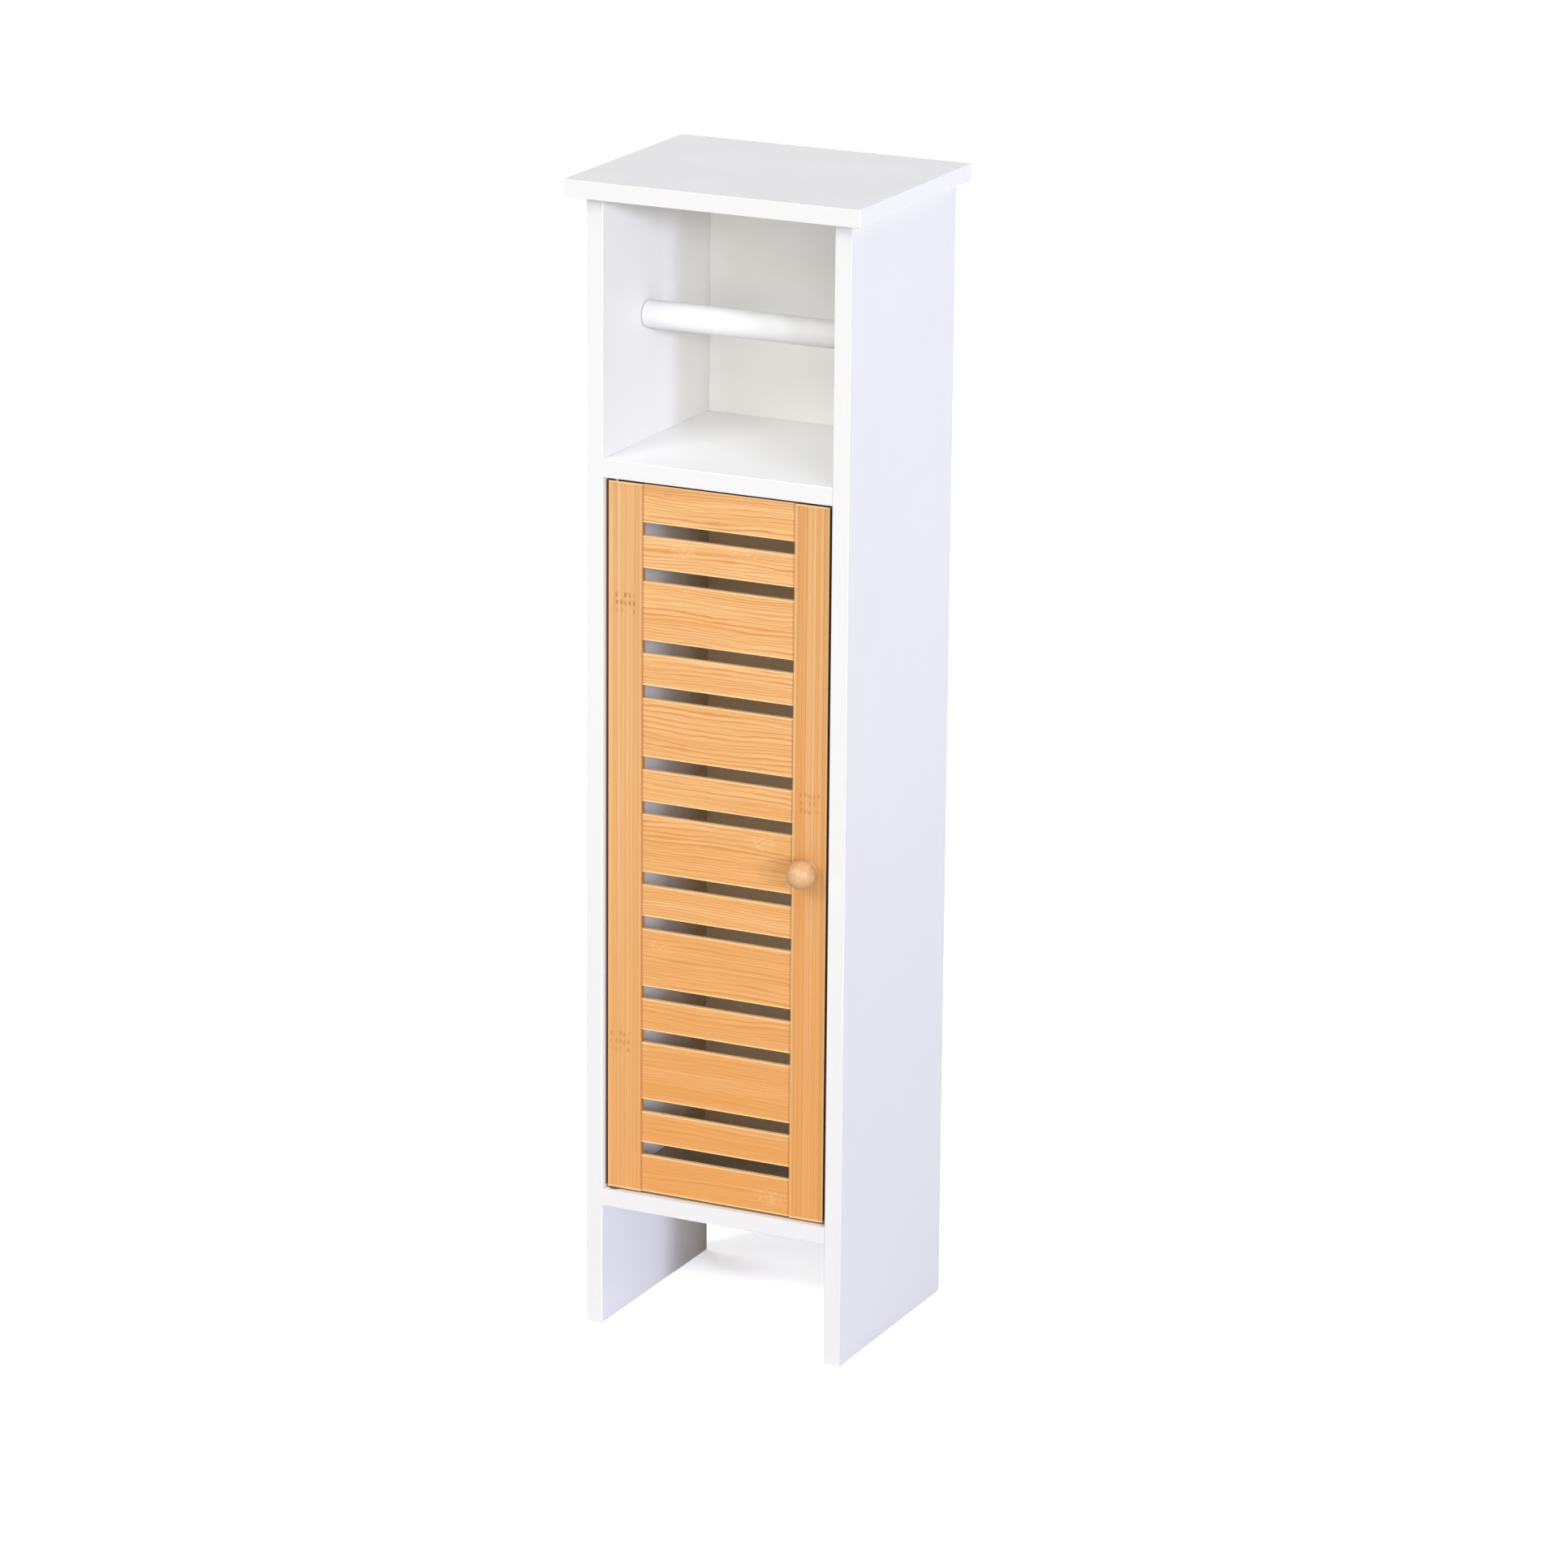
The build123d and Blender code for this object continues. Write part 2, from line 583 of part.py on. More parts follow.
def make_strike_plate():
    """The steel plate behind the top rail, with its sunk screw."""
    plate_back_y = slat_back_y + strike_thickness
    with BuildPart() as plate:
        widths = (catch_x - strike_width / 2, catch_x + strike_width / 2)
        heights = (magnet_z - strike_height / 2, magnet_z + strike_height / 2)
        slab(widths, (slat_back_y, plate_back_y), heights)
        fillet(plate.edges().filter_by(Axis.Y), edge_round)
        face = [(catch_x, plate_back_y, magnet_z)]
        sink_radius = strike_screw_head_radius + screw_fit
        rods(face, to_front, strike_screw_radius + screw_fit, strike_thickness, Mode.SUBTRACT)
        rods(face, to_front, sink_radius, strike_screw_head_thickness, Mode.SUBTRACT)
    finish(plate, "strike_plate")
    with BuildPart() as screw:
        seat = [(catch_x, plate_back_y - strike_screw_head_thickness, magnet_z)]
        length = strike_thickness - strike_screw_head_thickness + strike_screw_in_rail
        head = (strike_screw_head_radius, strike_screw_head_thickness)
        screws(seat, to_front, strike_screw_radius, length, *head)
    finish(screw, "strike_screw")


def make_roll_bar():
    """The bar that carries the roll: a sleeve, a sprung plunger that slides into it, and the spring."""
    with BuildPart() as sleeve:
        rods([(sleeve_left, bar_y, bar_z)], right, bar_radius, sleeve_length)
        fillet(sleeve.edges().filter_by(GeomType.CIRCLE), bar_end_round)
        rods([(sleeve_left, bar_y, bar_z)], left, spigot_radius, spigot_length)
        chamfer(sleeve.edges().group_by(Axis.X)[0], spigot_chamfer)
        bore = sleeve_length - sleeve_end_wall
        rods([(sleeve_right, bar_y, bar_z)], left, sleeve_bore_radius, bore, Mode.SUBTRACT)
    finish(sleeve, "roll_bar_sleeve")
    with BuildPart() as plunger:
        rods([(plunger_left, bar_y, bar_z)], right, plunger_radius, plunger_right - plunger_left)
        fillet(plunger.edges().group_by(Axis.X)[-1], bar_end_round)
        rods([(plunger_right, bar_y, bar_z)], right, spigot_radius, spigot_length)
        chamfer(plunger.edges().group_by(Axis.X)[-1], spigot_chamfer)
        bore = plunger_right - sleeve_end_wall - plunger_left
        rods([(plunger_left, bar_y, bar_z)], right, plunger_radius - bar_wall, bore, Mode.SUBTRACT)
    finish(plunger, "roll_bar_plunger")
    with BuildPart() as spring:
        height = spring_length - 2 * (spring_wire_radius + spring_end_gap)
        start = (spring_left + spring_wire_radius + spring_end_gap, bar_y, bar_z)
        with BuildLine() as coil:
            Helix(height / spring_turns, height, spring_coil_radius, center=start, direction=right)
        with BuildSketch(Plane(origin=coil.line @ 0, z_dir=coil.line % 0)):
            Circle(spring_wire_radius)
        sweep()
    finish(spring, "roll_bar_spring")


os.makedirs("parts", exist_ok=True)
make_top_panel()
make_side_panel("left_side_panel", -1)
make_side_panel("right_side_panel", 1)
make_shelf("middle_shelf")
make_shelf("bottom_shelf")
make_back_panel()
make_back_panel_pins()
make_dowels()
make_cam_locks()
make_cam_bolts()
make_stile("hinge_stile", (door_left, slat_left))
make_stile("latch_stile", (slat_right, door_right))
for cross_name, (cross_bottom, cross_top) in cross_pieces().items():
    make_cross_piece(cross_name, cross_bottom, cross_top)
make_hinge_pins()
make_pin_bush("upper_pin_bush", middle_shelf_bottom, up)
make_pin_bush("lower_pin_bush", bottom_shelf_top, down)
make_knob()
make_catch()
make_strike_plate()
make_roll_bar()
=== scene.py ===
import json
import math

import bpy
from mathutils import Matrix, Vector


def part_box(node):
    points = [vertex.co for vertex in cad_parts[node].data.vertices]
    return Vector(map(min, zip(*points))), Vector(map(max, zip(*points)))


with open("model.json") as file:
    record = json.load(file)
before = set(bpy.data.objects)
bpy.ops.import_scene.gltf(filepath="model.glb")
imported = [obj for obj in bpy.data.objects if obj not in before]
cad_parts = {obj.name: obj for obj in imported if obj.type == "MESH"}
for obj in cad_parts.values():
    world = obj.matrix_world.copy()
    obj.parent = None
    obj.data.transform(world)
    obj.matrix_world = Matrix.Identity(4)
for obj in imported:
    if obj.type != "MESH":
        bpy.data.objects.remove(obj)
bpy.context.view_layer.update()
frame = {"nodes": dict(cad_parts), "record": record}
nodes = frame["nodes"]
mm = 0.001
noiseLow, noiseHigh = 0.3, 0.7  # levels between which the value of a noise mostly lies


# Small helpers for the materials

def displayColour(red, green, blue):
    # A colour as a screen shows it, 0 to 255, turned into the linear values that a shader takes
    def linear(level):
        level /= 255
        return level / 12.92 if level <= 0.04045 else ((level + 0.055) / 1.055) ** 2.4
    return (linear(red), linear(green), linear(blue), 1.0)


class Field:
    # One number at each point of a surface. Sums and products of fields become math nodes
    def __init__(self, tree, socket):
        self.tree = tree
        self.socket = socket

    def reckon(self, operation, *others):
        node = self.tree.nodes.new("ShaderNodeMath")
        node.operation = operation
        for slot, value in zip(node.inputs, (self, *others)):
            if isinstance(value, Field):
                self.tree.links.new(value.socket, slot)
            else:
                slot.default_value = value
        return Field(self.tree, node.outputs[0])

    def __add__(self, other):
        return self.reckon("ADD", other)

    def __sub__(self, other):
        return self.reckon("SUBTRACT", other)

    def __mul__(self, other):
        return self.reckon("MULTIPLY", other)

    def size(self):
        return self.reckon("ABSOLUTE")

    def wrap(self):
        return self.reckon("FRACT")

    def whole(self):
        return self.reckon("FLOOR")

    def most(self, other):
        return self.reckon("MAXIMUM", other)

    def rise(self, start, end, low=0.0, high=1.0):
        # Smoothly from low at start to high at end, and level outside
        node = self.tree.nodes.new("ShaderNodeMapRange")
        node.interpolation_type = "SMOOTHSTEP"
        self.tree.links.new(self.socket, node.inputs["Value"])
        for slot, value in zip(("From Min", "From Max", "To Min", "To Max"), (start, end, low, high)):
            node.inputs[slot].default_value = value
        return Field(self.tree, node.outputs["Result"])


class Finish:
    # A material with one Principled shader, and the places and patterns that feed it
    def __init__(self, name, **constants):
        self.material = bpy.data.materials.new(name)
        self.material.use_nodes = True
        self.tree = self.material.node_tree
        self.shader = self.tree.nodes["Principled BSDF"]
        for socket, value in constants.items():
            self.shader.inputs[socket.replace("_", " ")].default_value = value
        place = self.tree.nodes.new("ShaderNodeTexCoord")
        split = self.tree.nodes.new("ShaderNodeSeparateXYZ")
        self.tree.links.new(place.outputs["Object"], split.inputs["Vector"])
        self.x, self.y, self.z = (Field(self.tree, split.outputs[axis]) for axis in "XYZ")

    def join(self, *parts):
        # Three fields or numbers as one vector
        node = self.tree.nodes.new("ShaderNodeCombineXYZ")
        for slot, value in zip(node.inputs, parts):
            if isinstance(value, Field):
                self.tree.links.new(value.socket, slot)
            else:
                slot.default_value = value
        return node.outputs["Vector"]

    def noise(self, *parts, detail=2.0, roughness=0.5, distortion=0.0):
        node = self.tree.nodes.new("ShaderNodeTexNoise")
        node.inputs["Scale"].default_value = 1.0
        node.inputs["Detail"].default_value = detail
        node.inputs["Roughness"].default_value = roughness
        node.inputs["Distortion"].default_value = distortion
        self.tree.links.new(self.join(*parts), node.inputs["Vector"])
        return Field(self.tree, node.outputs["Fac"])

    def chance(self, *parts):
        # One random number for each whole step of its parts
        node = self.tree.nodes.new("ShaderNodeTexWhiteNoise")
        self.tree.links.new(self.join(*parts), node.inputs["Vector"])
        return Field(self.tree, node.outputs["Value"])

    def ramp(self, field, *stops):
        # Each stop is a place from 0 to 1 and a colour
        node = self.tree.nodes.new("ShaderNodeValToRGB")
        ramp = node.color_ramp
        ramp.elements[0].position, ramp.elements[0].color = stops[0]
        ramp.elements[1].position, ramp.elements[1].color = stops[-1]
        for place, colour in stops[1:-1]:
            ramp.elements.new(place).color = colour
        self.tree.links.new(field.socket, node.inputs["Fac"])
        return node.outputs["Color"]

    def blend(self, amount, under, over):
        # Where amount is 0 the colour is under, where it is 1 it is over
        node = self.tree.nodes.new("ShaderNodeMix")
        node.data_type = "RGBA"
        self.tree.links.new(amount.socket, node.inputs[0])
        for slot, value in ((node.inputs[6], under), (node.inputs[7], over)):
            if isinstance(value, bpy.types.NodeSocket):
                self.tree.links.new(value, slot)
            else:
                slot.default_value = value
        return node.outputs[2]

    def wire(self, socket, source):
        self.tree.links.new(source.socket if isinstance(source, Field) else source, self.shader.inputs[socket])

    def relief(self, height, depth):
        # Height from 0 to 1, and the depth in metres that 1 stands for
        node = self.tree.nodes.new("ShaderNodeBump")
        node.inputs["Strength"].default_value = 1.0
        node.inputs["Distance"].default_value = depth
        self.tree.links.new(height.socket, node.inputs["Height"])
        self.tree.links.new(node.outputs["Normal"], self.shader.inputs["Normal"])


def wear(finish, *names):
    # Puts a finish on CAD nodes through their material slots
    for name in names:
        data = nodes[name].data
        data.materials.clear()
        data.materials.append(finish.material)


# White boards

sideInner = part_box("left_side_panel")[1].x * -1.0
whiteBoard = {
    "colour": displayColour(243, 243, 242),
    "shade": displayColour(239, 239, 238),
    # The tones from here to the front edges' tone are painted shade and painted light, placed to follow the
    # photograph's shading. They aren't known colours
    "low": displayColour(223, 223, 223),  # painted shade, nearer the floor
    "jointShade": displayColour(168, 168, 166),  # thin lines of painted shade where boards meet
    "jointWidth": 0.35 * mm,
    "revealShade": displayColour(138, 126, 118),  # a band of painted shade beside the door
    "bayShading": displayColour(225, 224, 220),  # painted light and shade on the inner faces of the sides, at the front and at the back
    "bayDeep": displayColour(238, 237, 233),
    "store": displayColour(248, 246, 243),  # painted light and shade on the same faces behind the door, at the front and at the back
    "storeDeep": displayColour(216, 195, 162),
    # painted shade on the bottom shelf's top behind the door
    "storeFloorShade": displayColour(176, 164, 140),
    "foot": displayColour(219, 218, 223),  # painted shade on the same faces under the bottom shelf, at the front and at the back
    "footDeep": displayColour(186, 178, 166),
    "paintedLight": displayColour(248, 248, 246),  # painted light on the right edge of the top, and on top of the middle shelf
    "frontShadeLow": displayColour(206, 205, 203),
    "frontShade": displayColour(213, 212, 207),  # painted shade on the front edges, darker than the boards so that they don't clip
    "frontShadeDepth": 0.7 * mm,
    "darkenFrom": 0.85,  # heights between which painted shade darkens the boards, in metres
    "darkenTo": -0.25,
    "frontShadeDarkenFrom": 0.5,
    "skinFar": 0.4 * mm,  # a tone of one face alone starts this far under it and is full at skinNear
    "skinNear": 0.2 * mm,
    "jointCore": 0.1 * mm,
    "jointStrength": 0.7,
    "bayReach": 0.6,  # share of the way to the back at which bayDeep is full
    "storeStart": 42 * mm,  # behind the door, where storeDeep starts
    "footStart": 2 * mm,  # under the shelf's top, where foot starts
    "footFull": 4 * mm,
    "cloud": 14.0,  # soft changes of tone for each metre
    "peel": 900.0,  # ripples of the lacquer for each metre
    "peelDepth": 0.006 * mm,
    "smooth": 0.38,
    "rough": 0.48,
}


def topmost(place, face):
    # 1 on the face at the high end of an axis, and 0 inside
    return place.rise(face - whiteBoard["skinFar"], face - whiteBoard["skinNear"])


def makeWhiteBoard(name):
    # Tone drifts with a broad noise, the lacquer's skin is a fine noise in the relief, and a band of painted shade
    # covers the front edge
    s = whiteBoard
    finish = Finish(name + "White", Specular_IOR_Level=0.35)
    cloud = finish.noise(finish.x * s["cloud"], finish.y * s["cloud"], finish.z * s["cloud"], detail=3.0)
    colour = finish.ramp(cloud, (noiseLow, s["shade"]), (noiseHigh, s["colour"]))
    # Painted shade: the boards darken towards the floor
    colour = finish.blend(finish.z.rise(s["darkenFrom"], s["darkenTo"]), colour, s["low"])
    low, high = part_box(name)
    # Painted shade on the front edge, darker near the floor
    frontShade = finish.y.rise(low.y + s["frontShadeDepth"], low.y + s["frontShadeDepth"] * 0.5)
    frontShadeTone = finish.blend(finish.z.rise(s["frontShadeDarkenFrom"], 0.0), s["frontShade"], s["frontShadeLow"])
    colour = finish.blend(frontShade, colour, frontShadeTone)
    doorLow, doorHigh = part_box("hinge_stile")
    behind = finish.y.rise(doorLow.y + 0.1 * mm, doorLow.y + 0.5 * mm)
    if name.endswith("side_panel"):
        inner = finish.x.size().rise(sideInner + s["skinFar"], sideInner + s["skinNear"])
        line = (finish.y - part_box("back_panel")[0].y).size()
        for shelf in ("middle_shelf", "bottom_shelf"):
            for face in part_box(shelf):
                line = line.reckon("MINIMUM", (finish.z - face.z).size())
        shelfLow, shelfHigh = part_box("bottom_shelf")[1].z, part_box("middle_shelf")[0].z
        store = finish.z.rise(shelfLow - s["skinNear"], shelfLow)
        store = store * finish.z.rise(shelfHigh + s["skinNear"], shelfHigh)
        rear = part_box("back_panel")[0].y
        deep = finish.y.rise(doorHigh.y + s["storeStart"], rear)
        # Painted light and shade on the sides' inner faces, paler towards the back
        bayShading = finish.blend(finish.y.rise(0.0, s["bayReach"] * rear), s["bayShading"], s["bayDeep"])
        colour = finish.blend(inner, colour, bayShading)
        # Painted shade on the inner faces under the bottom shelf, darker towards the back
        under = inner * finish.z.rise(shelfLow - s["footStart"], shelfLow - s["footFull"])
        colour = finish.blend(under, colour, finish.blend(finish.y.rise(0.0, rear), s["foot"], s["footDeep"]))
        # Painted light and shade behind the door: pale at the front, warm and dark further in
        colour = finish.blend(inner * store * behind, colour, finish.blend(deep, s["store"], s["storeDeep"]))
        # Painted shade along the lines where the boards meet
        jointShade = line.rise(s["jointWidth"], s["jointCore"]) * inner * s["jointStrength"]
        colour = finish.blend(jointShade, colour, s["jointShade"])
        # Painted shade on the inner faces in the gap beside the door
        beside = finish.y.rise(doorHigh.y + 0.5 * mm, doorHigh.y) * (finish.z - doorLow.z).rise(0.0, 0.5 * mm)
        beside = beside * (finish.z - doorHigh.z).rise(0.5 * mm, 0.0)
        colour = finish.blend(behind * inner * beside, colour, s["revealShade"])
    if name == "bottom_shelf":
        # Painted shade on the shelf's top behind the door
        colour = finish.blend(behind * topmost(finish.z, high.z), colour, s["storeFloorShade"])
    # Painted light on the middle shelf's top and on the top panel's right edge
    if name == "middle_shelf":
        colour = finish.blend(topmost(finish.z, high.z), colour, s["paintedLight"])
    if name == "top_panel":
        colour = finish.blend(topmost(finish.x, high.x), colour, s["paintedLight"])
    finish.wire("Base Color", colour)
    finish.wire("Roughness", cloud.rise(noiseLow, noiseHigh, s["rough"], s["smooth"]))
    peel = finish.noise(finish.x * s["peel"], finish.y * s["peel"], finish.z * s["peel"], detail=1.0)
    finish.relief(peel, s["peelDepth"])
    return finish


backing = {
    "colour": displayColour(240, 240, 236),
    "shade": displayColour(236, 236, 231),
    "behindDoorShade": displayColour(242, 216, 180),  # painted warm shade, after the photograph's shading, not a known colour
    "skinFar": 2 * mm,
    "skinNear": 1 * mm,
    "cloud": 22.0,
    "grain": 1400.0,
    "grainDepth": 0.012 * mm,
}


def makeBacking():
    # The thin back: flatter than the boards, with a finer tooth, and with painted warm shade where the door covers
    # it
    s = backing
    finish = Finish("backing", Roughness=0.6, Specular_IOR_Level=0.3)
    cloud = finish.noise(finish.x * s["cloud"], 0.0, finish.z * s["cloud"], detail=3.0)
    colour = finish.ramp(cloud, (noiseLow, s["shade"]), (noiseHigh, s["colour"]))
    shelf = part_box("middle_shelf")[0].z
    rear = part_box("back_panel")[1].y
    inside = finish.z.rise(shelf + s["skinFar"], shelf + s["skinNear"])
    inside = inside * finish.y.rise(rear - s["skinNear"], rear - s["skinFar"])
    # Painted warm shade where the door covers the back
    finish.wire("Base Color", finish.blend(inside, colour, s["behindDoorShade"]))
    tooth = finish.noise(finish.x * s["grain"], 0.0, finish.z * s["grain"], detail=2.0)
    finish.relief(tooth, s["grainDepth"])
    return finish


# Bamboo of the door

bamboo = {
    "light": displayColour(213, 175, 127),
    "base": displayColour(203, 158, 104),
    "dark": displayColour(192, 140, 82),
    "slatLight": displayColour(228, 187, 134),
    "slatBase": displayColour(217, 169, 110),
    "slatDark": displayColour(206, 150, 87),
    "seam": displayColour(184, 118, 60),
    # painted highlight along the door's rounded edges
    "arrisHighlight": displayColour(236, 202, 142),
    # dark joint lines where slats meet stiles, with painted shade beside the raised stile
    "jointShade": displayColour(160, 100, 50),
    # The next three follow the photograph's shading and aren't known colours
    "deep": displayColour(197, 132, 60),  # painted shade nearer the floor, and the deeper tone of a stile
    "edge": displayColour(92, 50, 24),  # painted shade on the faces round the door's rim
    "top": displayColour(240, 200, 146),  # painted light on the upper faces of the slats
    "tick": displayColour(156, 92, 44),
    "fleck": displayColour(238, 206, 160),
    "fibreAcross": 3200.0,  # fibres for each metre across the grain
    "fibreAlong": 45.0,
    "waveAlong": 9.0,  # slow bends of the grain for each metre
    "waveAcross": 16.0,
    "ringGap": 3.4 * mm,
    "fineGap": 1.9 * mm,
    "stripWidth": 3.1 * mm,
    "tongue": 5.0 * mm,  # of a slat inside a stile
    "deepenFrom": 0.60,  # heights between which painted shade deepens the door, in metres, and how far
    "deepenTo": 0.02,
    "deepenSlat": 0.76,
    "deepenStile": 0.56,
    "fibreShare": 0.24,  # of the ground tone
    "reliefDepth": 0.02 * mm,
    "smooth": 0.36,
    "rough": 0.52,
}


def bambooFibres(finish, along, across, depth, seed):
    s = bamboo
    return finish.noise(
        along * s["fibreAlong"], across * s["fibreAcross"], depth * s["fibreAcross"] + seed,
        detail=3.0, roughness=0.6
    )


def finishBamboo(finish, tone, lines, fibres, colourOver, kind=""):
    # Tone and fibres give the ground colour, lines darken it, painted shade deepens it towards the floor, and marks
    # lie on top
    s = bamboo
    ground = tone * (1 - s["fibreShare"]) + fibres * s["fibreShare"]
    dark, base, light = ("slatDark", "slatBase", "slatLight") if kind == "slat" else ("dark", "base", "light")
    colour = finish.ramp(ground, (0.34, s[dark]), (0.5, s[base]), (0.66, s[light]))
    colour = finish.blend(lines, colour, s["seam"])
    deepest = s["deepenSlat"] if kind == "slat" else s["deepenStile"]
    colour = finish.blend(finish.z.rise(s["deepenFrom"], s["deepenTo"], 0.0, deepest), colour, s["deep"])
    for amount, over in colourOver:
        colour = finish.blend(amount, colour, over)
    finish.wire("Base Color", colour)
    finish.wire("Roughness", fibres.rise(noiseLow, noiseHigh, s["rough"], s["smooth"]))
    finish.relief(fibres * 0.5 - lines * 1.5, s["reliefDepth"])


def rimFace(finish, place, edge, front):
    # The narrow faces of the door's rim, behind its rounded front edges
    return (place - edge).size().rise(0.5 * mm, 0.3 * mm) * finish.y.rise(front + 0.3 * mm, front + 0.6 * mm)


def nearLow(place, low, width):
    # 1 at the low end of a stretch, falling to 0 within the width
    return place.rise(low + width, low + width * 0.35)


def nearHigh(place, high, width):
    return place.rise(high - width, high - width * 0.35)


slatGrain = {
    # Noises' scales along and across the slat, for each metre, and how strongly they bend and darken the rings
    "wander": 10 * mm,
    "ripple": (34.0, 240.0),
    "rippleRings": 1.1,
    "rippleFine": 1.6,
    "patches": (7.0, 130.0),
    "broad": (3.0, 90.0),
    "silk": (8.0, 520.0),
    "lateDepth": 0.8,
    "fineDepth": 0.55,
}


def makeSlatBamboo(name, flecks, seed):
    # Flat grain along X: rings across the slat, bent by a slow noise, with finer rings between them. Each ring fades
    # in and ends in a sharp dark edge
    s = bamboo
    g = slatGrain
    low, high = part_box(name)
    finish = Finish(name + "Bamboo", Specular_IOR_Level=0.35)
    along, across, depth = finish.x, finish.z, finish.y
    wander = finish.noise(along * s["waveAlong"], across * s["waveAcross"], seed, detail=1.0) - 0.5
    bent = across + wander * g["wander"]
    ripple = finish.noise(along * g["ripple"][0], bent * g["ripple"][1], seed + 3.0, detail=2.0) - 0.5
    phase = bent * (1 / s["ringGap"]) + ripple * g["rippleRings"] + seed * 0.37
    strength = finish.noise(along * g["patches"][0], bent * g["patches"][1], seed + 5.0, detail=1.0)
    late = phase.wrap().rise(0.35, 0.9) * phase.wrap().rise(1.0, 0.93) * strength.rise(0.36, 0.64)
    finePhase = (bent * (1 / s["fineGap"]) + ripple * g["rippleFine"]).wrap()
    fine = finePhase.rise(0.2, 0.8) * finePhase.rise(1.0, 0.88) * strength.rise(0.64, 0.4)
    broad = finish.noise(along * g["broad"][0], bent * g["broad"][1], seed + 9.0, detail=2.0)
    silk = finish.noise(along * g["silk"][0], bent * g["silk"][1], seed + 1.0, detail=2.0)
    fibres = bambooFibres(finish, along, across, depth, seed)
    lines = (late * g["lateDepth"]).most(fine * g["fineDepth"])
    marks = [(fleckMark(finish, along, across, fleck, seed), s["fleck"]) for fleck in flecks]
    # Painted highlights along the long edges
    marks.append((nearLow(across, low.z, 1.5 * mm) * 0.8, s["arrisHighlight"]))
    marks.append((nearHigh(across, high.z, 1.2 * mm) * (0.8 if name == "top_rail" else 0.4), s["arrisHighlight"]))
    # A dark joint line at the left end, and painted shade beside the raised stile at the right end
    marks.append((nearLow(along, low.x + s["tongue"], 1.1 * mm) * 0.55, s["jointShade"]))
    marks.append((nearHigh(along, high.x - s["tongue"], 1.8 * mm) * 0.5, s["jointShade"]))
    # Painted shade on the top rail's upper rim face, and painted light on the other slats' upper faces
    if name == "top_rail":
        marks.append((rimFace(finish, across, high.z, low.y), s["edge"]))
    else:
        marks.append((nearHigh(across, high.z, 0.3 * mm), s["top"]))
    finishBamboo(finish, broad * 0.5 + silk * 0.5, lines, fibres, marks, "slat")
    return finish


fleckSize = {
    "halfWidth": 13 * mm,
    "halfHeight": 7 * mm,
}


def fleckMark(finish, along, across, place, seed):
    # A pale knot of short curls round a place on a slat
    x, z, strength = place
    sideways = ((along - x) * (1 / fleckSize["halfWidth"])).reckon("POWER", 2.0)
    far = sideways + ((across - z) * (1 / fleckSize["halfHeight"])).reckon("POWER", 2.0)
    curl = finish.noise(along * 300.0, across * 560.0, seed + 11.0, detail=1.0, distortion=1.2) - 0.5
    return curl.size().rise(0.035, 0.005) * far.rise(1.0, 0.1) * strength


stileLooks = {
    # Seams' strength, how much the strips' tones differ, and how much deeper the stile is
    "hinge_stile": (0.6, 0.6, 0.02),
    "latch_stile": (1.0, 1.0, 0.3),
}


stileGrain = {
    # Noises' scales along and across the stile, for each metre, and how far they move the strips' edges, in strips
    "sway": (2.2, 90.0),
    "swayStrips": 0.22,
    "uneven": 160.0,
    "unevenStrips": 1.2,
    "streak": (5.0, 700.0),
    "stripShare": 0.55,  # of the tone, next to the streaks
}


def makeStileBamboo(name, ticks, seed):
    # Edge grain along Z: upright strips, each with its own tone and a thin dark seam beside it
    s = bamboo
    low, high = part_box(name)
    g = stileGrain
    seamStrength, contrast, deeper = stileLooks[name]
    finish = Finish(name + "Bamboo", Specular_IOR_Level=0.35)
    along, across, depth = finish.z, finish.x, finish.y
    sway = finish.noise(along * g["sway"][0], across * g["sway"][1], seed, detail=1.0) - 0.5
    uneven = finish.noise(0.0, across * g["uneven"], seed + 2.0, detail=0.0) - 0.5
    step = (across - low.x) * (1 / s["stripWidth"]) + uneven * g["unevenStrips"] + sway * g["swayStrips"]
    strip = finish.chance(step.whole(), seed, 0.0)
    seam = (step.wrap() - 0.5).size().rise(0.36, 0.5)
    streak = finish.noise(along * g["streak"][0], across * g["streak"][1], seed + 4.0, detail=2.0)
    tone = strip.rise(0.0, 1.0, 0.5 - 0.2 * contrast, 0.5 + 0.2 * contrast) * g["stripShare"]
    tone = tone + streak * (1 - g["stripShare"])
    fibres = bambooFibres(finish, along, across, depth, seed)
    marks = [(streak.rise(0.0, 0.2, deeper * 0.9, deeper), s["deep"])]
    marks += [(tickMark(finish, along, across, place, seed), s["tick"]) for place in ticks]
    # Painted highlight along the stile's left edge
    marks.append((nearLow(across, low.x, 1.2 * mm) * 0.7, s["arrisHighlight"]))
    if name == "hinge_stile":
        # Dark joint line with painted shade beside the slats, and painted shade on the outer rim face
        marks.append((nearHigh(across, high.x, 0.9 * mm) * 0.5, s["jointShade"]))
        marks.append((rimFace(finish, across, low.x, low.y), s["edge"]))
    else:
        # Painted highlight on the inner edge, and painted shade on the outer rim face
        marks.append((nearHigh(across, high.x, 1.2 * mm) * 0.6, s["arrisHighlight"]))
        marks.append((rimFace(finish, across, high.x, low.y), s["edge"]))
    # Painted highlights along both ends, and painted shade on the top rim face
    marks.append((nearLow(along, low.z, 1.5 * mm) * 0.7, s["arrisHighlight"]))
    marks.append((nearHigh(along, high.z, 1.5 * mm) * 0.8, s["arrisHighlight"]))
    marks.append((rimFace(finish, along, high.z, low.y), s["edge"]))
    finishBamboo(finish, tone, seam * streak.rise(0.3, 0.6, 0.4, 1.0) * seamStrength, fibres, marks)
    return finish


